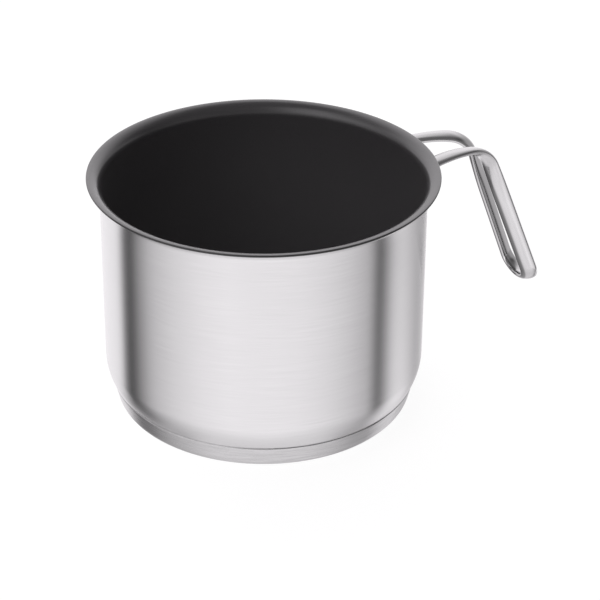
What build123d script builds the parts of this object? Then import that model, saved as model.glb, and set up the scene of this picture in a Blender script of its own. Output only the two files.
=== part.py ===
# Milk pan: a drawn steel pot with a flared pouring rim and a dark non-stick skin,
# a capsule base round an aluminium core, and a handle bent from one oval bar.
# Millimetres. The pot's axis is Z, the base rests on Z = 0 and the handle points along +X.

import os
from math import acos, atan2, cos, hypot, radians, sin, sqrt, tan

from build123d import *

# Pot sheet
inner_diameter = 140
rim_height = 108.7
wall = 0.8
belly_start_height = 23.1
seam_height = 11.2
seam_angle = 30.5

# Flared rim: the radius is that of the sheet's underside
rim_bend_radius = 4.8
flange_run = 0.2

# Non-stick skin, which wraps the rim's rounded edge
coating_thickness = 0.1
coating_wrap = 135

# Capsule base
cap_sheet = 0.6
cap_step = 0.3
cap_corner_radius = 5.4
cap_side_slant = 14
core_thickness = 6.0
core_rise = 2.4

# Handle bar, oval in section
bar_width = 7.8
bar_thickness = 3.7
bar_edge_radius = 1.1
bar_twist = 57.5

# Handle route, side view: arched arm, bend, straight grip
arm_drop = 10.5
arm_length = 31.0
arm_rise_angle = 14.5
arm_droop_angle = 10
bend_radius = 17.5
grip_lean = 22
grip_length = 62.3
twist_start = 11.5
twist_run_out = 21.0

# Handle route, seen from above: distances between the two strands' centre lines
arm_spacing_at_wall = 27.8
arm_spacing_at_bend = 18.2
strand_spacing = 15.0
turn_radius = 9.3

# Weld beads
weld_leg = 1.2
weld_round_share = 0.65

# Working values
overrun = 5.0
arm_stations = 6
bend_stations = 7
run_out_stations = 4
straight_stations = 6
turn_stations = 6
half_turn = 180
quarter_turn = 90

# Places on the pot that follow from the sizes above
body_radius = inner_diameter / 2 + wall
underside_height = cap_sheet + core_thickness
belly_radius = (belly_start_height - seam_height) / sin(radians(seam_angle))
corner_radius = (seam_height - underside_height) / (1 - sin(radians(seam_angle)))
seam_radius = body_radius - belly_radius * (1 - cos(radians(seam_angle)))
floor_radius = seam_radius - corner_radius * cos(radians(seam_angle))
rim_bend_height = rim_height - wall - rim_bend_radius
flange_start_radius = body_radius + rim_bend_radius
rim_radius = flange_start_radius + flange_run + wall / 2 + coating_thickness


def sheet_line(depth):
    """Half profile of the pot's sheet, at a depth below its outer face, axis to flange."""
    centre = (0, underside_height + depth)
    floor_edge = (floor_radius, underside_height + depth)
    floor_run = Line(centre, floor_edge)
    corner = JernArc(floor_edge, (1, 0), corner_radius - depth, quarter_turn - seam_angle)
    belly = JernArc(corner @ 1, corner % 1, belly_radius - depth, seam_angle)
    side = Line(belly @ 1, (body_radius - depth, rim_bend_height))
    flare = JernArc(side @ 1, (0, 1), rim_bend_radius + depth, -quarter_turn)
    flange = Line(flare @ 1, (flare @ 1) + Vector(flange_run, 0))
    return floor_run, flange


# Pot body: one drawn sheet, its rim edge fully rounded
with BuildPart() as pot_body:
    with BuildSketch(Plane.XZ):
        with BuildLine():
            outer_floor, outer_flange = sheet_line(0)
            inner_floor, inner_flange = sheet_line(wall)
            JernArc(outer_flange @ 1, (1, 0), wall / 2, half_turn)
            Line(outer_floor @ 0, inner_floor @ 0)
        make_face()
    revolve(axis=Axis.Z)

# The pot's outer form as one full solid, which cuts whatever seats on the pot
with BuildPart() as pot_form:
    with BuildSketch(Plane.XZ):
        with BuildLine():
            form_floor, form_flange = sheet_line(0)
            form_edge = (rim_radius, (form_flange @ 1).Y)
            Polyline(form_floor @ 0, (0, rim_height), (rim_radius, rim_height), form_edge, form_flange @ 1)
        make_face()
    revolve(axis=Axis.Z)

# Non-stick skin: the whole inside, the flare, and round the rim's edge to its underside
with BuildPart() as nonstick_coating:
    with BuildSketch(Plane.XZ):
        with BuildLine():
            back_floor, back_flange = sheet_line(wall)
            face_floor, face_flange = sheet_line(wall + coating_thickness)
            back_edge = JernArc(back_flange @ 1, (1, 0), wall / 2, -coating_wrap)
            face_edge = JernArc(face_flange @ 1, (1, 0), wall / 2 + coating_thickness, -coating_wrap)
            Line(back_floor @ 0, face_floor @ 0)
            Line(back_edge @ 1, face_edge @ 1)
        make_face()
    revolve(axis=Axis.Z)

# Capsule base: the cap's side slants in to its bottom corner
slant = radians(cap_side_slant)
cap_top_radius = seam_radius + cap_step
cap_side_run = (seam_height - cap_corner_radius) * tan(slant)
cap_corner_centre = cap_top_radius - cap_side_run - cap_corner_radius / cos(slant)


def cap_line(depth, top_height):
    """Half profile of the cap, at a depth below its outer face, from the axis up to a height."""
    bottom = Line((0, depth), (cap_corner_centre, depth))
    sweep = quarter_turn - cap_side_slant
    corner = JernArc(bottom @ 1, (1, 0), cap_corner_radius - depth, sweep)
    rise = top_height - (corner @ 1).Y
    side = Line(corner @ 1, (corner @ 1) + Vector(rise * tan(slant), rise))
    return bottom, side


with BuildPart() as base_cap:
    with BuildSketch(Plane.XZ):
        with BuildLine():
            cap_outer_bottom, cap_outer_side = cap_line(0, seam_height)
            cap_inner_bottom, cap_inner_side = cap_line(cap_sheet, seam_height)
            Line(cap_outer_bottom @ 0, cap_inner_bottom @ 0)
            Line(cap_outer_side @ 1, cap_inner_side @ 1)
        make_face()
    revolve(axis=Axis.Z)
    add(pot_form.part, mode=Mode.SUBTRACT)

# Aluminium core: fills the cap and is pressed up round the pot's corner
with BuildPart() as base_core:
    with BuildSketch(Plane.XZ):
        with BuildLine():
            core_bottom, core_side = cap_line(cap_sheet, underside_height + core_rise)
            Polyline(core_bottom @ 0, (0, (core_side @ 1).Y), core_side @ 1)
        make_face()
    revolve(axis=Axis.Z)
    add(pot_form.part, mode=Mode.SUBTRACT)

# Handle: the route of one strand, by its distance along the side view from the wall
rise_angle = radians(arm_rise_angle)
droop_angle = radians(-arm_droop_angle)
grip_angle = radians(grip_lean - quarter_turn)
arch_radius = arm_length / (rise_angle - droop_angle)
bend_length = bend_radius * (droop_angle - grip_angle)
bend_end = arm_length + bend_length
wall_x = sqrt(body_radius**2 - (arm_spacing_at_wall / 2) ** 2)
arm_height = rim_height - arm_drop
splay = acos(strand_spacing / 2 / hypot(turn_radius, grip_length)) - atan2(grip_length, turn_radius)
grip_end = bend_end + grip_length * cos(splay)
twist_end = bend_end + twist_run_out
arm_closing = (arm_spacing_at_wall - arm_spacing_at_bend) / 2 / arm_length


def side_angle(s):
    """Slope of the strand in the side view."""
    if s < arm_length:
        return rise_angle - s / arch_radius
    if s < bend_end:
        return droop_angle - (s - arm_length) / bend_radius
    return grip_angle


def side_point(s):
    """Place of the strand in the side view, as X and Z."""
    arm_angle = side_angle(min(s, arm_length))
    x = wall_x + arch_radius * (sin(rise_angle) - sin(arm_angle))
    z = arm_height + arch_radius * (cos(arm_angle) - cos(rise_angle))
    if s > arm_length:
        bend_angle = side_angle(min(s, bend_end))
        x += bend_radius * (sin(droop_angle) - sin(bend_angle))
        z += bend_radius * (cos(bend_angle) - cos(droop_angle))
    if s > bend_end:
        x += (s - bend_end) * cos(grip_angle)
        z += (s - bend_end) * sin(grip_angle)
    return x, z


def half_spacing(s):
    """Distance of the strand from the middle plane, and how fast it grows."""
    if s < arm_length:
        return arm_spacing_at_wall / 2 - arm_closing * s, -arm_closing
    if s > bend_end:
        return strand_spacing / 2 + (s - bend_end) * tan(splay), tan(splay)
    # A cubic carries the arm's closing slope over into the grip's opening slope
    u = (s - arm_length) / bend_length
    start, start_slope = arm_spacing_at_bend / 2, -arm_closing * bend_length
    end, end_slope = strand_spacing / 2, tan(splay) * bend_length
    value = (
        start * (2 * u**3 - 3 * u**2 + 1)
        + start_slope * (u**3 - 2 * u**2 + u)
        + end * (3 * u**2 - 2 * u**3)
        + end_slope * (u**3 - u**2)
    )
    growth = (
        (start - end) * (6 * u**2 - 6 * u)
        + start_slope * (3 * u**2 - 4 * u + 1)
        + end_slope * (3 * u**2 - 2 * u)
    )
    return value, growth / bend_length


def bar_plane(s):
    """Plane across the strand: X along the bar's width, Z along its route."""
    x, z = side_point(s)
    y, growth = half_spacing(s)
    angle = side_angle(s)
    tangent = Vector(cos(angle), -growth, sin(angle)).normalized()
    face_out = Vector(-sin(angle), 0, cos(angle))
    inward = face_out.cross(tangent)
    u = min(max((s - twist_start) / (twist_end - twist_start), 0), 1)
    turned = radians(bar_twist) * u**2 * (3 - 2 * u)
    normal = face_out * cos(turned) + inward * sin(turned)
    return Plane(origin=(x, -y, z), x_dir=tangent.cross(normal), z_dir=tangent)


def stations(start, end, count):
    """Evenly spaced places from start up to, but without, end."""
    return [start + (end - start) * i / count for i in range(count)]


# The grip's return turn is an arc in the grip's own plane, tangent to both strands
grip_direction = Vector(cos(grip_angle), 0, sin(grip_angle))
grip_outward = Vector(-sin(grip_angle), 0, cos(grip_angle))
across = Vector(0, 1, 0)
grip_end_x, grip_end_z = side_point(grip_end)
turn_centre = Vector(grip_end_x, 0, grip_end_z) + grip_direction * turn_radius * sin(splay)


def turn_plane(angle):
    """Plane across the bar at an angle of the return turn, which is a right angle halfway."""
    outward = grip_direction * sin(angle) - across * cos(angle)
    tangent = grip_direction * cos(angle) + across * sin(angle)
    normal = grip_outward * cos(radians(bar_twist)) - outward * sin(radians(bar_twist))
    return Plane(turn_centre + outward * turn_radius, tangent.cross(normal), tangent)


def mirrored(plane):
    """The same plane on the other strand, where the route runs back to the wall."""
    origin, x_dir, z_dir = plane.origin, plane.x_dir, plane.z_dir
    return Plane(
        origin=(origin.X, -origin.Y, origin.Z),
        x_dir=(x_dir.X, -x_dir.Y, x_dir.Z),
        z_dir=(-z_dir.X, z_dir.Y, -z_dir.Z),
    )


right_places = (
    stations(-overrun, arm_length, arm_stations)
    + stations(arm_length, bend_end, bend_stations)
    + stations(bend_end, twist_end, run_out_stations)
    + stations(twist_end, grip_end, straight_stations)
)
right_planes = [bar_plane(place) for place in right_places]
right_planes += [turn_plane(angle) for angle in stations(-splay, radians(quarter_turn), turn_stations)]
left_planes = [mirrored(plane) for plane in reversed(right_planes)]

def oval(margin):
    """Oval face of the bar's section with a margin round it: two flat arcs and two end arcs."""
    a, b, edge = bar_width / 2 + margin, bar_thickness / 2 + margin, bar_edge_radius + margin
    flat = (a**2 + b**2 - 2 * a * edge) / (2 * (b - edge))
    # A flat arc and an end arc meet on the line through their two centres
    x = (a - edge) * flat / (flat - edge)
    y = (flat - b) * edge / (flat - edge)
    return make_face([
        ThreePointArc((x, y), (0, b), (-x, y)),
        ThreePointArc((-x, y), (-a, 0), (-x, -y)),
        ThreePointArc((-x, -y), (0, -b), (x, -y)),
        ThreePointArc((x, -y), (a, 0), (x, y)),
    ])


# The whole bar is one loft from wall to wall, trimmed to the wall's round
bar_section = oval(0)
with BuildPart() as handle_loop:
    for plane in right_planes + [turn_plane(radians(quarter_turn))] + left_planes:
        with BuildSketch(plane):
            add(bar_section)
    loft()
    add(pot_form.part, mode=Mode.SUBTRACT)

# Weld beads where the bar's ends meet the wall, right and left for the hand on the grip
collar_section = oval(weld_leg)
with BuildPart() as handle_weld_right:
    with BuildSketch(bar_plane(0)):
        add(collar_section)
    extrude(amount=overrun, both=True)
    Cylinder(
        radius=body_radius + weld_leg,
        height=rim_bend_height,
        align=(Align.CENTER, Align.CENTER, Align.MIN),
        mode=Mode.INTERSECT,
    )
    add(pot_form.part, mode=Mode.SUBTRACT)
    crown = handle_weld_right.faces().filter_by(GeomType.CYLINDER).sort_by(lambda face: face.radius)[-1]
    fillet(crown.outer_wire().edges(), radius=weld_leg * weld_round_share)
    add(handle_loop.part, mode=Mode.SUBTRACT)

with BuildPart() as handle_weld_left:
    mirror(handle_weld_right.part, about=Plane.XZ)

nodes = {
    "pot_body": pot_body,
    "nonstick_coating": nonstick_coating,
    "base_cap": base_cap,
    "base_core": base_core,
    "handle_loop": handle_loop,
    "handle_weld_right": handle_weld_right,
    "handle_weld_left": handle_weld_left,
}

os.makedirs("parts", exist_ok=True)
for name, node in nodes.items():
    node.part.label = name
    export_step(node.part, f"parts/{name}.step")
    print(name, len(node.part.solids()), round(node.part.volume))
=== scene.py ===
import bpy
import numpy as np
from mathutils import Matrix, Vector


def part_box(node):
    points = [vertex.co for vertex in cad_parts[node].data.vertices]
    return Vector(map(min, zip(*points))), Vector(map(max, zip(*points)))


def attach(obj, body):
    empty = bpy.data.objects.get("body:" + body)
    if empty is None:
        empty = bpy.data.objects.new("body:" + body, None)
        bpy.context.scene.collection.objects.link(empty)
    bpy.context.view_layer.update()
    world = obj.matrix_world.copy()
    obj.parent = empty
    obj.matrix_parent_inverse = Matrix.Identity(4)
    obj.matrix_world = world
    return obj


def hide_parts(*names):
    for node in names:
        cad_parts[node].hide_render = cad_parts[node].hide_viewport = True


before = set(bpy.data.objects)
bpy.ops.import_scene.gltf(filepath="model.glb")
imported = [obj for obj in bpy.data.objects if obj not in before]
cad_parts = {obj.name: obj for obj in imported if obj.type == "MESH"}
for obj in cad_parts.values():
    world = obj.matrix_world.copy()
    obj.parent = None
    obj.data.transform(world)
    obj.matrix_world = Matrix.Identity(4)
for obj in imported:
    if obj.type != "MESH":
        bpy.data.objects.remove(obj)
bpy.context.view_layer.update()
print("frame loaded:", sorted(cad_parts))

# Lengths are in metres and angles in degrees. The pot's axis is Z and the handle points along +X.
# The pot's height and the far corner of the cap's box come from the frame.
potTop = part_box("pot_body")[1].z
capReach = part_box("base_cap")[1]


# Mesh making

# Mesh from an array of points, an array of quads and an array of triangles, faces turned outward.
def pushMesh(name, points, quads, tris=None, loopUv=None):
    tris = np.zeros((0, 3), int) if tris is None else tris
    mesh = bpy.data.meshes.new(name)
    corners = np.concatenate([quads.ravel(), tris.ravel()])
    sizes = np.concatenate([np.full(len(quads), 4), np.full(len(tris), 3)])
    mesh.vertices.add(len(points))
    mesh.vertices.foreach_set("co", np.ascontiguousarray(points, np.float32).ravel())
    mesh.loops.add(len(corners))
    mesh.loops.foreach_set("vertex_index", corners.astype(np.int32))
    mesh.polygons.add(len(sizes))
    mesh.polygons.foreach_set("loop_start", (np.cumsum(sizes) - sizes).astype(np.int32))
    if loopUv is not None:
        layer = mesh.uv_layers.new(name="UVMap")
        layer.data.foreach_set("uv", np.ascontiguousarray(loopUv, np.float32).ravel())
    mesh.update(calc_edges=True)
    mesh.validate()
    # Signed volume over the quads, each as two triangles: below zero when the faces point inward
    a, b, c, d = (points[quads[:, k]] for k in range(4))
    volume = (a * (np.cross(b, c) + np.cross(c, d))).sum()
    if volume < 0:
        mesh.flip_normals()
    mesh.polygons.foreach_set("use_smooth", np.ones(len(sizes), bool))
    piece = bpy.data.objects.new(name, mesh)
    bpy.context.scene.collection.objects.link(piece)
    return piece


# Quads of a grid whose rows are closed rings of points; with closed, the last row joins the first.
def gridQuads(rows, columns, closed=False):
    i, j = np.meshgrid(np.arange(rows if closed else rows - 1), np.arange(columns), indexing="ij")
    m, k = (i + 1) % rows, (j + 1) % columns
    corners = [i * columns + j, i * columns + k, m * columns + k, m * columns + j]
    return np.stack(corners, -1).reshape(-1, 4)


# Triangles that close the grid's first and last ring, each on one of the two points after the grid.
def endFans(rows, columns):
    around = np.arange(columns)
    after = (around + 1) % columns
    last = (rows - 1) * columns
    firstFan = np.stack([after, around, np.full(columns, rows * columns)], -1)
    lastFan = np.stack([last + around, last + after, np.full(columns, rows * columns + 1)], -1)
    return np.concatenate([firstFan, lastFan])


# Surface of revolution: a profile of radius and height, from the axis round to the axis, carried
# through a full turn. Each place of the profile becomes a ring at its height.
def spinProfile(name, profile, turns):
    radius, height = profile[1:-1, :1], profile[1:-1, 1:]
    angle = np.arange(turns) / turns * 2 * np.pi
    rings = np.stack([radius * np.cos(angle), radius * np.sin(angle), height + 0 * angle], -1)
    poles = [[0, 0, profile[0, 1]], [0, 0, profile[-1, 1]]]
    points = np.concatenate([rings.reshape(-1, 3), poles])
    return pushMesh(name, points, gridQuads(len(rings), turns), endFans(len(rings), turns))


# Profile walked from a start point and a heading in degrees: each step is a straight run,
# ("run", length, count), or a tangent arc, ("arc", radius, turn in degrees, count).
def walk(start, heading, steps):
    places, here = [np.array([start])], np.array(start, float)
    for kind, *sizes in steps:
        h = np.radians(heading)
        if kind == "run":
            length, count = sizes
            t = np.linspace(0, 1, count + 1)[1:, None]
            path = here + t * length * np.array([np.cos(h), np.sin(h)])
        else:
            radius, turn, count = sizes
            side = np.sign(turn)
            swept = np.linspace(0, np.radians(turn), count + 1)[1:]
            centre = here + radius * side * np.array([-np.sin(h), np.cos(h)])
            lean = h + swept
            path = centre - radius * side * np.stack([-np.sin(lean), np.cos(lean)], -1)
            heading += turn
        places.append(path)
        here = path[-1]
    return np.concatenate(places)


# Lengths along a line of points: the running sum of the distances between them, from 0.
def lengthsOf(points):
    return np.concatenate([[0], np.cumsum(np.linalg.norm(np.diff(points, axis=0), axis=1))])


# A piece gets its material and rides on the root body in the place of a CAD node.
def finishPiece(piece, material, nodeName):
    piece.data.materials.append(material)
    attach(piece, "root")
    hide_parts(nodeName)
    print(piece.name, "made:", len(piece.data.polygons), "faces")


# Shader nodes

# An input takes a socket, a colour or a number.
def feed(tree, socket, term):
    if isinstance(term, bpy.types.NodeSocket):
        tree.links.new(term, socket)
    elif isinstance(term, (tuple, list)):
        socket.default_value = (*term, 1)
    else:
        socket.default_value = term


# Math node of one operation on its terms.
def mathOf(tree, operation, *terms):
    node = tree.nodes.new("ShaderNodeMath")
    node.operation = operation
    for socket, term in zip(node.inputs, terms):
        feed(tree, socket, term)
    return node.outputs[0]


# Weighted mean of two values: the first times its share plus the second times the rest.
def meanOf(tree, first, second, share):
    main = mathOf(tree, "MULTIPLY", first, share)
    rest = mathOf(tree, "MULTIPLY", second, 1 - share)
    return mathOf(tree, "ADD", main, rest)


# Distance from the Z axis: the root of x squared plus y squared.
def radiusOf(tree, x, y):
    square = mathOf(tree, "ADD", mathOf(tree, "MULTIPLY", x, x), mathOf(tree, "MULTIPLY", y, y))
    return mathOf(tree, "SQRT", square)


# Vector from three terms.
def vectorOf(tree, *terms):
    node = tree.nodes.new("ShaderNodeCombineXYZ")
    for socket, term in zip(node.inputs, terms):
        feed(tree, socket, term)
    return node.outputs[0]


# Three sockets from a vector.
def splitOf(tree, vector):
    node = tree.nodes.new("ShaderNodeSeparateXYZ")
    tree.links.new(vector, node.inputs[0])
    return node.outputs


# Object coordinates as x, y and z.
def objectPlace(tree):
    return splitOf(tree, tree.nodes.new("ShaderNodeTexCoord").outputs["Object"])


# UV coordinates as u and v.
def uvPlace(tree):
    return splitOf(tree, tree.nodes.new("ShaderNodeUVMap").outputs[0])[:2]


# Value carried from one range to another and held at its ends, straight or as a smooth step.
def mapOf(tree, value, source, target=(0, 1), smooth=False):
    node = tree.nodes.new("ShaderNodeMapRange")
    if smooth:
        node.interpolation_type = "SMOOTHSTEP"
    node.inputs["From Min"].default_value, node.inputs["From Max"].default_value = source
    node.inputs["To Min"].default_value, node.inputs["To Max"].default_value = target
    tree.links.new(value, node.inputs["Value"])
    return node.outputs[0]


# Colour between low and high.
def mixOf(tree, factor, low, high):
    node = tree.nodes.new("ShaderNodeMix")
    node.data_type = "RGBA"
    colours = [socket for socket in node.inputs if socket.type == "RGBA"]
    for socket, term in zip([node.inputs["Factor"], *colours], (factor, low, high)):
        feed(tree, socket, term)
    return [socket for socket in node.outputs if socket.type == "RGBA"][0]


# Value between low and high.
def blendOf(tree, factor, low, high):
    node = tree.nodes.new("ShaderNodeMix")
    for label, term in (("Factor", factor), ("A", low), ("B", high)):
        feed(tree, node.inputs[label], term)
    return node.outputs["Result"]


# Soft noise at a vector.
def noiseOf(tree, vector, scale, detail, roughness=0.5):
    node = tree.nodes.new("ShaderNodeTexNoise")
    node.inputs["Scale"].default_value = scale
    node.inputs["Detail"].default_value = detail
    node.inputs["Roughness"].default_value = roughness
    tree.links.new(vector, node.inputs["Vector"])
    return node.outputs["Fac"]


# Shader groups shared by the materials

texture = {
    # Detail and roughness of the fine lines' noise, detail of the broad lines' noise
    "fineDetail": 3.0,
    "fineRoughness": 0.6,
    "broadDetail": 2.0,
    # Share of the fine lines in the height
    "fineShare": 0.7,
    # Lathe lines don't turn any tighter than this radius
    "leastRadius": 0.0005,
    # Broad lines of the drawn grain: fineness next to the fine lines, scale, and place in the noise
    "drawnFineness": 0.12,
    "drawnScale": 0.6,
    "drawnPlace": 3.0,
    # Detail of the wiped patches and of the specks
    "patchDetail": 3.0,
    "speckDetail": 2.0,
    # Noise mostly stays between these values
    "noiseRange": (0.3, 0.7),
}


# Node group with float inputs, given with their defaults, and named float outputs.
def newGroup(name, inputs, outputs):
    group = bpy.data.node_groups.new(name, "ShaderNodeTree")
    for label, default in inputs.items():
        socket = group.interface.new_socket(name=label, in_out="INPUT", socket_type="NodeSocketFloat")
        socket.default_value = default
    for label in outputs:
        group.interface.new_socket(name=label, in_out="OUTPUT", socket_type="NodeSocketFloat")
    return group, group.nodes.new("NodeGroupInput"), group.nodes.new("NodeGroupOutput")


# What a grain puts out: Height, the weighted mean of both noises, feeds a bump, and Tone and Streak
# are masks.
def finishGrain(group, made, fine, broad):
    group.links.new(meanOf(group, fine, broad, texture["fineShare"]), made.inputs["Height"])
    group.links.new(broad, made.inputs["Tone"])
    group.links.new(fine, made.inputs["Streak"])


# Lathe lines round the Z axis: noise that changes fast along the profile, on radius plus height,
# and slowly round the pot, on x and y divided by the radius.
def makeTurnedGrain():
    inputs = {"Lines": 5200.0, "Around": 9.0, "Broad": 420.0}
    group, given, made = newGroup("turnedGrain", inputs, ("Height", "Tone", "Streak"))
    x, y, z = objectPlace(group)
    radius = radiusOf(group, x, y)
    safe = mathOf(group, "MAXIMUM", radius, texture["leastRadius"])
    along = mathOf(group, "ADD", radius, z)
    turnX = mathOf(group, "MULTIPLY", mathOf(group, "DIVIDE", x, safe), given.outputs["Around"])
    turnY = mathOf(group, "MULTIPLY", mathOf(group, "DIVIDE", y, safe), given.outputs["Around"])
    fineAlong = mathOf(group, "MULTIPLY", along, given.outputs["Lines"])
    broadAlong = mathOf(group, "MULTIPLY", along, given.outputs["Broad"])
    finePlace = vectorOf(group, turnX, turnY, fineAlong)
    broadPlace = vectorOf(group, turnX, turnY, broadAlong)
    fine = noiseOf(group, finePlace, 1.0, texture["fineDetail"], texture["fineRoughness"])
    broad = noiseOf(group, broadPlace, 1.0, texture["broadDetail"])
    finishGrain(group, made, fine, broad)
    return group


# Polishing lines along the bar: noise on the UV map, slow along it and fast across it.
def makeDrawnGrain():
    inputs = {"Lines": 4200.0, "Along": 70.0}
    group, given, made = newGroup("drawnGrain", inputs, ("Height", "Tone", "Streak"))
    along, across = uvPlace(group)
    u = mathOf(group, "MULTIPLY", along, given.outputs["Along"])
    v = mathOf(group, "MULTIPLY", across, given.outputs["Lines"])
    wide = mathOf(group, "MULTIPLY", v, texture["drawnFineness"])
    finePlace = vectorOf(group, u, v, 0.0)
    broadPlace = vectorOf(group, u, wide, texture["drawnPlace"])
    fine = noiseOf(group, finePlace, 1.0, texture["fineDetail"], texture["fineRoughness"])
    broad = noiseOf(group, broadPlace, texture["drawnScale"], texture["broadDetail"])
    finishGrain(group, made, fine, broad)
    return group


# Faint wiped patches and specks over a whole surface: two noises on Object coordinates.
def makeHandling():
    group, given, made = newGroup("handling", {"Patch": 22.0, "Speck": 900.0}, ("Patch", "Speck"))
    place = group.nodes.new("ShaderNodeTexCoord")
    for label, detail in (("Patch", texture["patchDetail"]), ("Speck", texture["speckDetail"])):
        scaled = group.nodes.new("ShaderNodeVectorMath")
        scaled.operation = "SCALE"
        group.links.new(place.outputs["Object"], scaled.inputs[0])
        group.links.new(given.outputs[label], scaled.inputs["Scale"])
        group.links.new(noiseOf(group, scaled.outputs[0], 1.0, detail), made.inputs[label])
    return group


turnedGrain = makeTurnedGrain()
drawnGrain = makeDrawnGrain()
handling = makeHandling()


# Parts of the materials

# Material with its node tree and its Principled shader.
def newMaterial(name):
    material = bpy.data.materials.new(name)
    material.use_nodes = True
    tree = material.node_tree
    return material, tree, tree.nodes["Principled BSDF"]


# Outputs of a shared group, placed in a material with its own values.
def placeGroup(tree, group, values):
    node = tree.nodes.new("ShaderNodeGroup")
    node.node_tree = group
    for label, value in values.items():
        node.inputs[label].default_value = value
    return node.outputs


# Value that runs from low to high as a noise mask runs over its range.
def between(tree, mask, low, high):
    return mapOf(tree, mask, texture["noiseRange"], (low, high))


# Bump from a height into the shader's normal.
def bumpOf(tree, shader, height, look):
    node = tree.nodes.new("ShaderNodeBump")
    node.inputs["Strength"].default_value = look["bump"]
    node.inputs["Distance"].default_value = look["depth"]
    tree.links.new(height, node.inputs["Height"])
    tree.links.new(node.outputs[0], shader.inputs["Normal"])


# Gloss drawn out across brushed lines that run round the Z axis or along the UV map.
def brush(tree, shader, look):
    shader.inputs["Anisotropic"].default_value = look["anisotropic"]
    shader.inputs["Anisotropic Rotation"].default_value = look["rotation"]
    tangent = tree.nodes.new("ShaderNodeTangent")
    tangent.direction_type = look["tangent"]
    tangent.axis = "Z"
    tree.links.new(tangent.outputs[0], shader.inputs["Tangent"])


# Painted shade in stripes along a bar on its UV map: each is full in its core and fades out at half its
# width. All of them fade out over the given lengths from the middle of the bar.
def paintedShadeOf(tree, look):
    along, across = uvPlace(tree)
    strongest = 0.0
    for middle, halfWidth, strength in look["paintedShadeBands"]:
        away = mathOf(tree, "ABSOLUTE", mathOf(tree, "SUBTRACT", across, middle))
        share = mapOf(tree, away, (halfWidth, halfWidth * look["paintedShadeCore"]), smooth=True)
        strongest = mathOf(tree, "MAXIMUM", strongest, mathOf(tree, "MULTIPLY", share, strength))
    reach = mapOf(tree, mathOf(tree, "ABSOLUTE", along), look["paintedShadeLengths"], smooth=True)
    return mathOf(tree, "MULTIPLY", strongest, reach)


# Brushed stainless steel: grain lines in the bump and the tint, wiped patches and lines in the gloss, and
# where given, stripes of painted shade in the tint.
def steel(name, grain, look):
    material, tree, shader = newMaterial(name)
    lines = placeGroup(tree, grain, look["grain"])
    wiped = placeGroup(tree, handling, look["handling"])
    tint = mixOf(tree, between(tree, lines["Tone"], 0, 1), look["dark"], look["light"])
    # Painted shade: dark stripes along the bar stand in for the dark reflection of the shaded floor on its
    # faces towards the pot and down.
    if "paintedShadeBands" in look:
        tint = mixOf(tree, paintedShadeOf(tree, look), tint, look["paintedShadeColour"])
    mask = meanOf(tree, wiped["Patch"], lines["Streak"], look["patchShare"])
    tree.links.new(tint, shader.inputs["Base Color"])
    tree.links.new(between(tree, mask, *look["roughness"]), shader.inputs["Roughness"])
    shader.inputs["Metallic"].default_value = 1
    brush(tree, shader, look)
    bumpOf(tree, shader, lines["Height"], look)
    return material


# Bare metal without lines: patches in the tint, fine specks in the gloss and the bump.
def rawMetal(name, look):
    material, tree, shader = newMaterial(name)
    wiped = placeGroup(tree, handling, look["handling"])
    tint = mixOf(tree, between(tree, wiped["Patch"], 0, 1), look["dark"], look["light"])
    tree.links.new(tint, shader.inputs["Base Color"])
    tree.links.new(between(tree, wiped["Speck"], *look["roughness"]), shader.inputs["Roughness"])
    shader.inputs["Metallic"].default_value = 1
    bumpOf(tree, shader, wiped["Speck"], look)
    return material


# Pot, one sheet of steel

pot = {
    "wall": 0.0008,
    "bodyRadius": 0.0708,  # over the outside
    "bellyStart": 0.0231,  # height where the side ends
    "seamHeight": 0.0112,  # height of the cap's top edge on the belly
    "seamAngle": 30.5,  # the belly's lean there, from upright
    "underside": 0.0066,  # height of the floor's underside
    "rimBend": 0.0048,  # radius of the flare's outer face
    "flangeRun": 0.0002,  # flat run from the flare to the rolled edge
    # Faces along each stretch of the profile, and round the pot
    "faces": {"floor": 10, "corner": 12, "belly": 12, "side": 14, "flare": 20, "flange": 1, "edge": 12},
    "turns": 320,
}


# Half profile of the sheet at a depth under its outer face: floor, corner, belly, side, flare, flange.
def potLine(depth):
    faces = pot["faces"]
    lean = np.radians(pot["seamAngle"])
    sine, cosine = np.sin(lean), np.cos(lean)
    bellyRadius = (pot["bellyStart"] - pot["seamHeight"]) / sine
    cornerRadius = (pot["seamHeight"] - pot["underside"]) / (1 - sine)
    floorRadius = pot["bodyRadius"] - bellyRadius * (1 - cosine) - cornerRadius * cosine
    bendStart = potTop - pot["wall"] - pot["rimBend"]
    return walk((0, pot["underside"] + depth), 0, [
        ("run", floorRadius, faces["floor"]),
        ("arc", cornerRadius - depth, 90 - pot["seamAngle"], faces["corner"]),
        ("arc", bellyRadius - depth, pot["seamAngle"], faces["belly"]),
        ("run", bendStart - pot["bellyStart"], faces["side"]),
        ("arc", pot["rimBend"] + depth, -90, faces["flare"]),
        ("run", pot["flangeRun"], faces["flange"]),
    ])


# The sheet's edge is rolled round by half a turn, its radius half the wall.
def makePot():
    outer = potLine(0)
    inner = potLine(pot["wall"])
    tip = walk(tuple(outer[-1]), 0, [("arc", pot["wall"] / 2, 180, pot["faces"]["edge"])])
    return spinProfile("potShell", np.concatenate([outer, tip[1:-1], inner[::-1]]), pot["turns"])


potLook = {
    "grain": {"Lines": 5200.0, "Around": 3.5, "Broad": 2100.0},
    "handling": {"Patch": 16.0},
    "patchShare": 0.6,
    "dark": (0.622, 0.622, 0.622),
    "light": (0.646, 0.646, 0.646),
    "roughness": (0.215, 0.235),
    "anisotropic": 0.98,
    "rotation": 0.25,
    "tangent": "RADIAL",
    "bump": 0.06,
    "depth": 0.00002,
}

finishPiece(makePot(), steel("potSteel", turnedGrain, potLook), "pot_body")


# Non-stick skin

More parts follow.
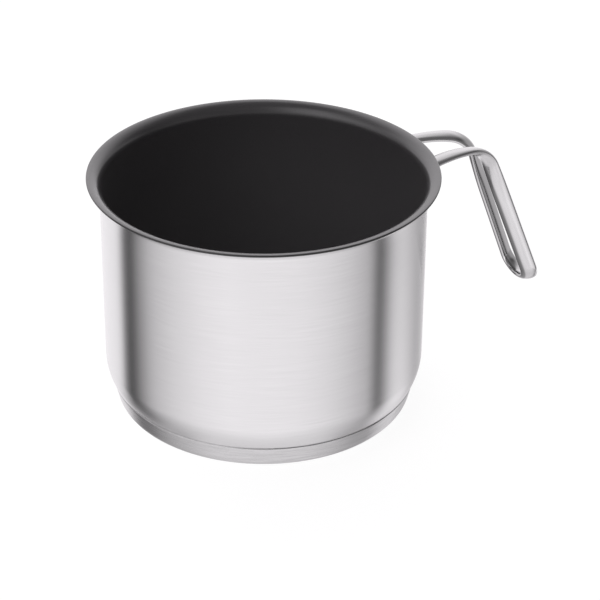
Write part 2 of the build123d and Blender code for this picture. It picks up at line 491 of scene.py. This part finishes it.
skin = {
    "thickness": 0.0001,
    "wrap": 135,  # how far it goes round the rolled edge
}
skinLook = {
    "grain": {"Lines": 1500.0, "Around": 3.0, "Broad": 260.0},
    "handling": {"Patch": 30.0, "Speck": 2600.0},
    # Heights between which painted light pales the coat lower down, and its colours at the rim and deep
    # down
    "paintedLightBelow": (0.030, 0.104),
    "rimColour": (0.050, 0.048, 0.050),
    "deepPaintedLightColour": (0.145, 0.141, 0.145),
    "speckColour": (0.200, 0.195, 0.200),
    "speckShare": (0, 0.1),  # least and most of the specks' colour
    # Radii between which the rolled edge turns matt and darker, and its colour there: partly the coat's own
    # dark edge, partly painted shade of the gap under the rim
    "mattAndShadeBeyond": (0.0760, 0.07625),
    "edgeColourAndShade": (0.016, 0.016, 0.016),
    "roughness": (0.29, 0.33),
    "refraction": 1.6,
    "gloss": 0.6,
    "glossRoughness": 0.16,
    "anisotropic": 0.6,
    "rotation": 0.25,
    "tangent": "RADIAL",
    # Share of the sprayed specks in the bump, and the rest is lathe rings
    "sprayShare": 0.6,
    "bump": 0.12,
    "depth": 0.00002,
}


# The skin follows the inside of the sheet and wraps its rolled edge.
def makeSkin():
    back = potLine(pot["wall"])
    face = potLine(pot["wall"] + skin["thickness"])
    count, radius = pot["faces"]["edge"], pot["wall"] / 2
    backTip = walk(tuple(back[-1]), 0, [("arc", radius, -skin["wrap"], count)])
    faceTip = walk(tuple(face[-1]), 0, [("arc", radius + skin["thickness"], -skin["wrap"], count)])
    profile = np.concatenate([back, backTip[1:], faceTip[:0:-1], face[::-1]])
    return spinProfile("nonstickSkin", profile, pot["turns"])


# Satin dark coat: fine sprayed texture, faint lathe rings of the steel under it. It is darker towards
# the rim and paler lower down, by height, which is painted light on the deep inside; and it is matt
# and darker on the rolled edge, by radius, partly the coat's own dark edge and partly painted shade of
# the gap under the rim.
def skinMaterial(look):
    material, tree, shader = newMaterial("nonstickCoat")
    rings = placeGroup(tree, turnedGrain, look["grain"])
    wiped = placeGroup(tree, handling, look["handling"])
    x, y, z = objectPlace(tree)
    # Painted light: the coat's colour pales from the rim colour to a lighter deep colour lower down the
    # inside, standing in for light on the deep inside.
    coatWithPaintedLight = mixOf(tree, mapOf(tree, z, look["paintedLightBelow"]), look["deepPaintedLightColour"], look["rimColour"])
    speckled = mixOf(tree, between(tree, wiped["Speck"], *look["speckShare"]), coatWithPaintedLight, look["speckColour"])
    # The rolled edge loses its gloss, and its dark colour is partly the coat's own and partly painted shade
    # of the gap under the rim.
    edge = mapOf(tree, radiusOf(tree, x, y), look["mattAndShadeBeyond"], smooth=True)
    gloss = mathOf(tree, "MULTIPLY", mathOf(tree, "SUBTRACT", 1.0, edge), look["gloss"])
    tree.links.new(mixOf(tree, edge, speckled, look["edgeColourAndShade"]), shader.inputs["Base Color"])
    tree.links.new(between(tree, wiped["Patch"], *look["roughness"]), shader.inputs["Roughness"])
    tree.links.new(gloss, shader.inputs["Coat Weight"])
    shader.inputs["Coat Roughness"].default_value = look["glossRoughness"]
    shader.inputs["IOR"].default_value = look["refraction"]
    brush(tree, shader, look)
    bumpOf(tree, shader, meanOf(tree, wiped["Speck"], rings["Height"], look["sprayShare"]), look)
    return material


finishPiece(makeSkin(), skinMaterial(skinLook), "nonstick_coating")


# Capsule base

cap = {
    "sheet": 0.0006,
    "corner": 0.0054,
    "slant": 14,  # the side's lean, from upright
    "lip": 0.0005,  # radius of the rounded top edge
    "lipRun": 0.0006,  # the side stops this far short of its full length
    "innerShare": 0.8,  # the inside stops at this share of it
    "faces": {"bottom": 16, "corner": 12, "side": 8, "lip": 5, "top": 2, "innerSide": 6},
    "turns": 320,
}


# The cap is a shallow cup: its side slants in to the bottom corner, its top edge is rounded to a lip.
def makeCap():
    faces, corner, sheet, lip = cap["faces"], cap["corner"], cap["sheet"], cap["lip"]
    slant = np.radians(cap["slant"])
    cornerCentre = capReach.x - (capReach.z - corner) * np.tan(slant) - corner / np.cos(slant)
    cornerTop = corner * (1 - np.sin(slant))
    sideLength = (capReach.z - cornerTop) / np.cos(slant)
    outer = walk((0, 0), 0, [
        ("run", cornerCentre, faces["bottom"]),
        ("arc", corner, 90 - cap["slant"], faces["corner"]),
        ("run", sideLength - cap["lipRun"], faces["side"]),
        ("arc", lip, 90, faces["lip"]),
        ("run", sheet - lip, faces["top"]),
    ])
    inner = walk((0, sheet), 0, [
        ("run", cornerCentre, faces["bottom"]),
        ("arc", corner - sheet, 90 - cap["slant"], faces["corner"]),
        ("run", sideLength * cap["innerShare"], faces["innerSide"]),
    ])
    return spinProfile("baseCup", np.concatenate([outer, inner[::-1]]), cap["turns"])


capLook = dict(
    potLook,
    grain={"Lines": 4200.0, "Around": 5.0, "Broad": 700.0},
    dark=(0.53, 0.53, 0.53),
    light=(0.62, 0.62, 0.62),
    roughness=(0.25, 0.30),
    bump=0.2,
)

finishPiece(makeCap(), steel("capSteel", turnedGrain, capLook), "base_cap")


# Handle, one oval bar

bar = {
    "width": 0.0078,
    "thickness": 0.0037,
    "twist": 57.5,
    "twistStart": 0.0115,  # along the bar, from the wall
    "twistRunOut": 0.0210,  # past the bend
    "armDrop": 0.0105,  # from the pot's top to the bar's middle at the wall
    "armLength": 0.0310,
    "armRise": 14.5,  # upwards at the wall
    "armDroop": 10,  # downwards at the arm's end
    "bendRadius": 0.0175,
    "gripLean": 22,  # from upright
    "gripLength": 0.0623,
    "turnRadius": 0.0093,
    # Between the middles of the two strands
    "spacingAtWall": 0.0278,
    "spacingAtBend": 0.0182,
    "spacingAtGrip": 0.0150,
    "wallBite": 0.0002,  # depth of the bar's ends in the wall
    # Sections along a strand and along half the turn, and points round a section
    "stations": 150,
    "turnStations": 40,
    "around": 72,
}


# Half the space between the strands at lengths s along the bar: a straight line that closes on the
# arm, a cubic round the bend that takes over its neighbours' slopes, a straight line that opens again.
def halfSpacing(s, bendLength, splay):
    armLength = bar["armLength"]
    atWall = bar["spacingAtWall"] / 2
    atBend = bar["spacingAtBend"] / 2
    atGrip = bar["spacingAtGrip"] / 2
    closing = (atWall - atBend) / armLength
    opening = np.tan(splay)
    u = np.clip((s - armLength) / bendLength, 0, 1)
    cubic = atBend * (2 * u**3 - 3 * u**2 + 1) - closing * bendLength * (u**3 - 2 * u**2 + u)
    cubic = cubic + atGrip * (3 * u**2 - 2 * u**3) + opening * bendLength * (u**3 - u**2)
    half = np.where(s < armLength, atWall - closing * s, cubic)
    return half + np.maximum(s - armLength - bendLength, 0) * opening


# Return turn from a strand's end to the middle of the turn: an arc in the grip's plane, with the
# broad face kept at the same twist.
def returnTurn(end, grip, splay):
    radius, twist = bar["turnRadius"], np.radians(bar["twist"])
    down, across = np.array([np.cos(grip), 0, np.sin(grip)]), np.array([0.0, 1, 0])
    out = np.array([-np.sin(grip), 0, np.cos(grip)])
    middle = end * np.array([1, 0, 1]) + down * radius * np.sin(splay)
    phi = np.linspace(-splay, np.pi / 2, bar["turnStations"])[1:, None]
    away = down * np.sin(phi) - across * np.cos(phi)
    direction = down * np.cos(phi) + across * np.sin(phi)
    return middle + away * radius, direction, out * np.cos(twist) - away * np.sin(twist)


# Centre line of the right-hand strand from the wall to the middle of the return turn, with the
# direction it runs in and the normal of its broad face. In the side view it is an arched arm, a
# bend and a straight, each tangent to the one before; the bar twists along it by a smooth step.
def barRoute():
    rise, droop = np.radians(bar["armRise"]), np.radians(-bar["armDroop"])
    grip = np.radians(bar["gripLean"] - 90)
    arch = bar["armLength"] / (rise - droop)
    bend, turn = bar["bendRadius"], bar["turnRadius"]
    bendLength = bend * (droop - grip)
    bendEnd = bar["armLength"] + bendLength
    # The grip's strands open by this angle, so that each runs into the turn along its tangent
    splay = np.arccos(bar["spacingAtGrip"] / 2 / np.hypot(turn, bar["gripLength"]))
    splay = splay - np.arctan2(bar["gripLength"], turn)
    gripEnd = bendEnd + bar["gripLength"] * np.cos(splay)
    s = np.linspace(0, gripEnd, bar["stations"])

    armAngle = rise - np.minimum(s, bar["armLength"]) / arch
    bendAngle = droop - np.clip(s - bar["armLength"], 0, bendLength) / bend
    run = np.maximum(s - bendEnd, 0)
    x = np.sqrt(pot["bodyRadius"] ** 2 - bar["spacingAtWall"] ** 2 / 4)
    x = x + arch * (np.sin(rise) - np.sin(armAngle))
    x = x + bend * (np.sin(droop) - np.sin(bendAngle)) + run * np.cos(grip)
    z = potTop - bar["armDrop"] + arch * (np.cos(armAngle) - np.cos(rise))
    z = z + bend * (np.cos(bendAngle) - np.cos(droop)) + run * np.sin(grip)
    angle = np.where(s < bar["armLength"], armAngle, bendAngle)
    half = halfSpacing(s, bendLength, splay)
    centre = np.stack([x, -half, z], -1)
    direction = np.stack([np.cos(angle), -np.gradient(half, s), np.sin(angle)], -1)
    direction /= np.linalg.norm(direction, axis=1)[:, None]

    faceOut = np.stack([-np.sin(angle), 0 * angle, np.cos(angle)], -1)
    inward = np.cross(faceOut, direction)
    share = np.clip((s - bar["twistStart"]) / (bendEnd + bar["twistRunOut"] - bar["twistStart"]), 0, 1)
    turned = np.radians(bar["twist"]) * (3 * share**2 - 2 * share**3)
    normal = faceOut * np.cos(turned)[:, None] + inward * np.sin(turned)[:, None]
    strand = (centre, direction, normal)
    return [np.concatenate(pair) for pair in zip(strand, returnTurn(centre[-1], grip, splay))]


# Closed outline of the bar, an ellipse: half the width times the cosine of the angle round it, and
# half the thickness times the sine.
def barSection():
    angle = np.arange(bar["around"]) / bar["around"] * 2 * np.pi
    return np.stack([np.cos(angle) * bar["width"], np.sin(angle) * bar["thickness"]], -1) / 2


# Places moved along one direction to where they first meet a round wall about the Z axis: the
# smaller root of |place + step * direction| = radius, in plan.
def runToWall(places, run, radius):
    p, d = places[:, :2], run[:2]
    half, square = p @ d, d @ d
    step = -(half + np.sqrt(half**2 - square * ((p**2).sum(1) - radius**2))) / square
    return places + step[:, None] * run


# UV in metres: along the bar from its middle, and round its section. The end fans have none.
def barUv(centre, section):
    along = lengthsOf(centre)
    along = along - along[-1] / 2
    girth = lengthsOf(np.concatenate([section, section[:1]]))
    i, j = np.meshgrid(np.arange(len(centre) - 1), np.arange(len(section)), indexing="ij")
    corners = ((i, j), (i, j + 1), (i + 1, j + 1), (i + 1, j))
    quadUv = np.stack([np.stack([along[a], girth[b]], -1) for a, b in corners], -2)
    fanUv = np.zeros((2 * len(section) * 3, 2))
    return np.concatenate([quadUv.reshape(-1, 2), fanUv])


# The section is carried along the route and back along its mirror image, and both ends are run on,
# point by point, until they meet the wall's round.
def makeBar():
    centre, direction, normal = barRoute()
    mirror = np.array([1.0, -1, 1])
    centre = np.concatenate([centre, (centre * mirror)[-2::-1]])
    normal = np.concatenate([normal, (normal * mirror)[-2::-1]])
    direction = np.concatenate([direction, (-direction * mirror)[-2::-1]])
    normal -= direction * np.einsum("ij,ij->i", normal, direction)[:, None]
    normal /= np.linalg.norm(normal, axis=1)[:, None]
    across = np.cross(direction, normal)
    section = barSection()
    grid = centre[:, None] + across[:, None] * section[None, :, :1] + normal[:, None] * section[None, :, 1:]
    reach = pot["bodyRadius"] - bar["wallBite"]
    grid[0] = runToWall(grid[0], -direction[0], reach)
    grid[-1] = runToWall(grid[-1], direction[-1], reach)
    rows, columns = grid.shape[:2]
    points = np.concatenate([grid.reshape(-1, 3), [grid[0].mean(0), grid[-1].mean(0)]])
    quads, fans = gridQuads(rows, columns), endFans(rows, columns)
    return pushMesh("handleBar", points, quads, fans, barUv(centre, section))


barLook = {
    "grain": {"Lines": 4200.0, "Along": 70.0},
    "handling": {"Patch": 40.0},
    "patchShare": 0.6,
    "dark": (0.535, 0.535, 0.535),
    "light": (0.595, 0.595, 0.595),
    # Stripes of painted shade along the grip, standing in for the dark reflection of the shaded floor by
    # the pot: middle on the girth, half width, strength
    "paintedShadeBands": [(0.01075, 0.00205, 0.92), (0.0079, 0.0008, 0.70), (0.0172, 0.0014, 0.10)],
    # Share of the half width within which a band is full, and lengths over which all fade out
    "paintedShadeCore": 0.4,
    "paintedShadeLengths": (0.085, 0.076),
    "paintedShadeColour": (0.16, 0.16, 0.16),
    "roughness": (0.145, 0.175),
    "anisotropic": 0.6,
    "rotation": 0.25,
    "tangent": "UV_MAP",
    "bump": 0.04,
    "depth": 0.00002,
}

finishPiece(makeBar(), steel("barSteel", drawnGrain, barLook), "handle_loop")


# Weld beads

bead = {
    "leg": 0.0012,
    "swell": 0.42,  # how far the curve is drawn out between its legs, as a share of them
    "sink": 0.00015,  # depth of its back in wall and bar
    "ripple": 0.00004,  # how much the legs vary
    "ripples": 26,
    "around": 220,
    "across": 12,
}


# Fillet carried round the bar's end. Each place of the ring has a foot out on the wall and a top
# up along the bar, joined by a quadratic curve, and closes behind, just inside wall and bar.
def makeBead(name, side):
    centre, direction, normal = barRoute()
    here, run, face = centre[0], direction[0], normal[0]
    across = np.cross(run, face)
    turn = np.arange(bead["around"]) / bead["around"]
    section = barSection()
    ring = np.concatenate([section, section[:1]])
    girth = lengthsOf(ring)
    spot = np.stack([np.interp(turn * girth[-1], girth, ring[:, k]) for k in (0, 1)], -1)
    facing = spot / np.array([bar["width"], bar["thickness"]]) ** 2
    facing /= np.linalg.norm(facing, axis=1)[:, None]
    place = here + across * spot[:, :1] + face * spot[:, 1:]
    outward = across * facing[:, :1] + face * facing[:, 1:]

    touch = runToWall(place, -run, pot["bodyRadius"])
    wallOut = touch * np.array([1, 1, 0]) / pot["bodyRadius"]
    level = outward - wallOut * np.einsum("ij,ij->i", outward, wallOut)[:, None]
    level /= np.linalg.norm(level, axis=1)[:, None]
    leg = bead["leg"] + bead["ripple"] * np.sin(2 * np.pi * bead["ripples"] * turn)[:, None]
    foot = touch + level * leg
    foot[:, :2] *= (pot["bodyRadius"] / np.linalg.norm(foot[:, :2], axis=1))[:, None]
    top = touch + run * leg
    bulge = touch + bead["swell"] * leg * (level + run)
    q = np.linspace(0, 1, bead["across"])[None, :, None]
    curve = (1 - q) ** 2 * foot[:, None] + 2 * q * (1 - q) * bulge[:, None] + q**2 * top[:, None]
    topIn = top - outward * bead["sink"]
    heel = touch - outward * bead["sink"] - wallOut * bead["sink"]
    footIn = foot - wallOut * bead["sink"]
    grid = np.concatenate([curve, topIn[:, None], heel[:, None], footIn[:, None]], 1)
    grid[..., 1] *= side
    return pushMesh(name, grid.reshape(-1, 3), gridQuads(*grid.shape[:2], closed=True))


beadLook = {
    "handling": {"Patch": 420.0, "Speck": 2600.0},
    "dark": (0.60, 0.575, 0.54),
    "light": (0.70, 0.695, 0.69),
    "roughness": (0.30, 0.44),
    "bump": 0.3,
    "depth": 0.00004,
}

# Weld metal brushed over, with a faint straw tint in patches
weldMetal = rawMetal("beadSteel", beadLook)
finishPiece(makeBead("beadRight", 1), weldMetal, "handle_weld_right")
finishPiece(makeBead("beadLeft", -1), weldMetal, "handle_weld_left")


# Aluminium core, the CAD solid as it is, with raw pressed metal on it

coreLook = {
    "handling": {"Patch": 60.0, "Speck": 1200.0},
    "dark": (0.68, 0.69, 0.71),
    "light": (0.80, 0.81, 0.83),
    "roughness": (0.42, 0.58),
    "bump": 0.3,
    "depth": 0.00005,
}

coreMetal = rawMetal("coreAluminium", coreLook)
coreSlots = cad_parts["base_core"].material_slots
for metalSlot in coreSlots:
    metalSlot.material = coreMetal
print("core finished:", len(coreSlots), "slot")


# Studio: pale floor, soft light from all sides with two dark gaps, camera

view = {
    "azimuth": -28.7,
    "elevation": 29.13,
    "distance": 0.9404,
    "aim": (0, 0, 0.0532),
    "focalPixels": 2126,
    "centrePixel": (263.65, 284.8),
    "framePixels": 600,
    "sensor": 36.0,
}
studio = {
    "floorSize": 6.0,
    "floorColour": (0.30, 0.30, 0.30),
    "floorRoughness": 0.9,
    "floorGlow": 0.88,
    "background": 1.0,
    "lightColour": (1.0, 0.973, 1.0),
    # Brightness straight below, then the layers of light round the object, lowest first. Each has
    # the sines of the elevations between which it takes over from the one below, and its brightness
    # by the angle to the right of the photograph's side.
    "nadir": 1.0,
    "layers": [
        ((-0.96, -0.88), [
            (-180, 0.95), (-150, 0.78), (-130, 0.56), (-120, 0.52), (-110, 0.56), (-100, 0.64),
            (-90, 0.68), (-75, 0.78), (-50, 0.96), (0, 1.10), (30, 1.06), (60, 0.94), (80, 0.80),
            (95, 0.66), (110, 0.54), (125, 0.54), (140, 0.60), (160, 0.80), (180, 0.95),
        ]),
        ((-0.84, -0.75), [
            (-180, 1.20), (-160, 1.05), (-148, 0.72), (-138, 0.48), (-128, 0.28), (-116, 0.14),
            (-106, 0.20), (-96, 0.38), (-88, 0.53), (-78, 0.70), (-60, 0.96), (-45, 1.12), (-20, 1.28),
            (10, 1.26), (40, 1.10), (60, 0.88), (80, 0.62), (91, 0.46), (98, 0.56), (108, 0.95),
            (118, 1.15), (130, 1.10), (150, 0.95), (165, 1.10), (180, 1.20),
        ]),
        ((-0.68, -0.57), [
            (-180, 1.22), (-135, 1.22), (-122.5, 1.14), (-117, 0.03), (-104, 0.01), (-94, 0.42),
            (-85, 0.84), (-66, 1.18), (-45, 1.46), (-25, 1.63), (10, 1.63), (25, 1.59), (45, 1.42),
            (60, 1.22), (80, 0.92), (87.5, 0.13), (92, 0.11), (97, 0.66), (106, 1.55), (116, 1.62),
            (128, 1.26), (142, 0.70), (152, 0.72), (166, 1.10), (180, 1.22),
        ]),
        ((-0.54, -0.46), [
            (-180, 1.24), (-135, 1.24), (-120.5, 1.22), (-115.5, 0.05), (-105, 0.02), (-97, 0.54),
            (-87, 0.94), (-66, 1.24), (-45, 1.46), (-25, 1.60), (10, 1.59), (25, 1.55), (45, 1.38),
            (60, 1.16), (80, 0.76), (87.5, 0.02), (92, 0.01), (98, 0.26), (106, 0.64), (116, 0.74),
            (128, 0.68), (142, 0.58), (152, 0.72), (166, 1.14), (180, 1.22),
        ]),
        ((-0.37, -0.19), [
            (-180, 0.92), (-150, 0.97), (-122, 0.92), (-112, 0.40), (-102, 0.42), (-94, 0.60),
            (-60, 0.57), (-20, 0.49), (10, 0.36), (40, 0.36), (60, 0.36), (75, 0.24), (88, 0.20),
            (106, 0.50), (122, 0.50), (135, 0.50), (150, 0.66), (165, 1.22), (180, 1.25),
        ]),
        ((0.12, 0.45), [
            (-180, 1.35), (-150, 1.32), (-130, 1.20), (-115, 0.97), (-95, 0.64), (-75, 1.02),
            (-45, 1.32), (-25, 1.16), (-10, 0.46), (5, 0.24), (30, 0.20), (50, 0.24), (70, 0.20),
            (90, 0.10), (105, 0.12), (118, 0.26), (130, 0.62), (142, 1.02), (155, 1.28), (180, 1.32),
        ]),
        ((0.48, 0.70), [
            (-180, 1.20), (-165, 1.28), (-150, 1.18), (-130, 0.76), (-110, 0.43), (-92, 0.36),
            (-72, 0.66), (-50, 1.12), (-28, 1.04), (-10, 0.50), (8, 0.28), (40, 0.21), (70, 0.17),
            (90, 0.17), (108, 0.22), (128, 0.48), (150, 0.90), (180, 1.15),
        ]),
    ],
    # Brightness straight above, and the sines between which it takes over
    "overhead": 0.2,
    "crown": (0.80, 0.94),
}


# A square of pale floor that glows a little and doesn't show in the steel.
def makeFloor():
    half = studio["floorSize"] / 2
    corners = [(-half, -half, 0), (half, -half, 0), (half, half, 0), (-half, half, 0)]
    mesh = bpy.data.meshes.new("studioFloor")
    mesh.from_pydata(corners, [], [(0, 1, 2, 3)])
    floor = bpy.data.objects.new("studioFloor", mesh)
    bpy.context.scene.collection.objects.link(floor)
    material, tree, shader = newMaterial("paleFloor")
    shader.inputs["Base Color"].default_value = (*studio["floorColour"], 1)
    shader.inputs["Roughness"].default_value = studio["floorRoughness"]
    shader.inputs["Specular IOR Level"].default_value = 0
    shader.inputs["Emission Color"].default_value = (1, 1, 1, 1)
    shader.inputs["Emission Strength"].default_value = studio["floorGlow"]
    mesh.materials.append(material)
    floor.visible_glossy = False


# Colour ramp whose stops are given on the scale from low to high.
def rampOf(tree, factor, stops, low, high):
    node = tree.nodes.new("ShaderNodeValToRGB")
    node.color_ramp.interpolation = "LINEAR"
    elements = node.color_ramp.elements
    while len(elements) < len(stops):
        elements.new(0.5)
    for element, (where, value) in zip(elements, stops):
        element.position = (where - low) / (high - low)
        element.color = (value, value, value, 1)
    tree.links.new(factor, node.inputs[0])
    return node.outputs[0]


# Light by direction. Each layer is a ramp over the angle round the object, counted from the side that
# the photograph was taken from, and takes over from the layer below by a smooth step of the sine of
# the elevation. The camera itself sees an even white ground.
def makeLight():
    world = bpy.data.worlds.new("softStudio")
    world.use_nodes = True
    bpy.context.scene.world = world
    tree = world.node_tree
    tree.nodes.clear()
    place = tree.nodes.new("ShaderNodeTexCoord")
    turned = tree.nodes.new("ShaderNodeMapping")
    turned.inputs["Rotation"].default_value = (0, 0, np.radians(-view["azimuth"]))
    tree.links.new(place.outputs["Generated"], turned.inputs["Vector"])
    x, y, z = splitOf(tree, turned.outputs[0])
    angle = mathOf(tree, "ARCTAN2", x, mathOf(tree, "MULTIPLY", y, -1.0))
    share = mathOf(tree, "ADD", mathOf(tree, "DIVIDE", angle, 2 * np.pi), 0.5)
    light = studio["nadir"]
    for rise, stops in studio["layers"]:
        layer = rampOf(tree, share, stops, -180, 180)
        light = blendOf(tree, mapOf(tree, z, rise, smooth=True), light, layer)
    light = blendOf(tree, mapOf(tree, z, studio["crown"], smooth=True), light, studio["overhead"])
    shown = tree.nodes.new("ShaderNodeBackground")
    shown.inputs["Color"].default_value = (1, 1, 1, 1)
    shown.inputs["Strength"].default_value = studio["background"]
    lit = tree.nodes.new("ShaderNodeBackground")
    lit.inputs["Color"].default_value = (*studio["lightColour"], 1)
    tree.links.new(light, lit.inputs["Strength"])
    path = tree.nodes.new("ShaderNodeLightPath")
    mix = tree.nodes.new("ShaderNodeMixShader")
    tree.links.new(path.outputs["Is Camera Ray"], mix.inputs[0])
    tree.links.new(lit.outputs[0], mix.inputs[1])
    tree.links.new(shown.outputs[0], mix.inputs[2])
    out = tree.nodes.new("ShaderNodeOutputWorld")
    tree.links.new(mix.outputs[0], out.inputs["Surface"])


# The camera looks along its azimuth and elevation at the aim, and its shift puts the aim's place on
# the centre pixel.
def makeCamera():
    data = bpy.data.cameras.new("camera")
    camera = bpy.data.objects.new("camera", data)
    bpy.context.scene.collection.objects.link(camera)
    a, e = np.radians(view["azimuth"]), np.radians(view["elevation"])
    back = Vector((np.sin(a) * np.cos(e), -np.cos(a) * np.cos(e), np.sin(e)))
    camera.location = Vector(view["aim"]) + back * view["distance"]
    camera.rotation_euler = back.to_track_quat("Z", "Y").to_euler()
    width, (centreX, centreY) = view["framePixels"], view["centrePixel"]
    data.sensor_width = view["sensor"]
    data.lens = view["focalPixels"] / width * view["sensor"]
    data.shift_x = (width / 2 - centreX) / width
    data.shift_y = (centreY - width / 2) / width
    bpy.context.scene.camera = camera


makeFloor()
makeLight()
makeCamera()
bpy.context.scene.view_settings.view_transform = "Standard"
print("studio made")
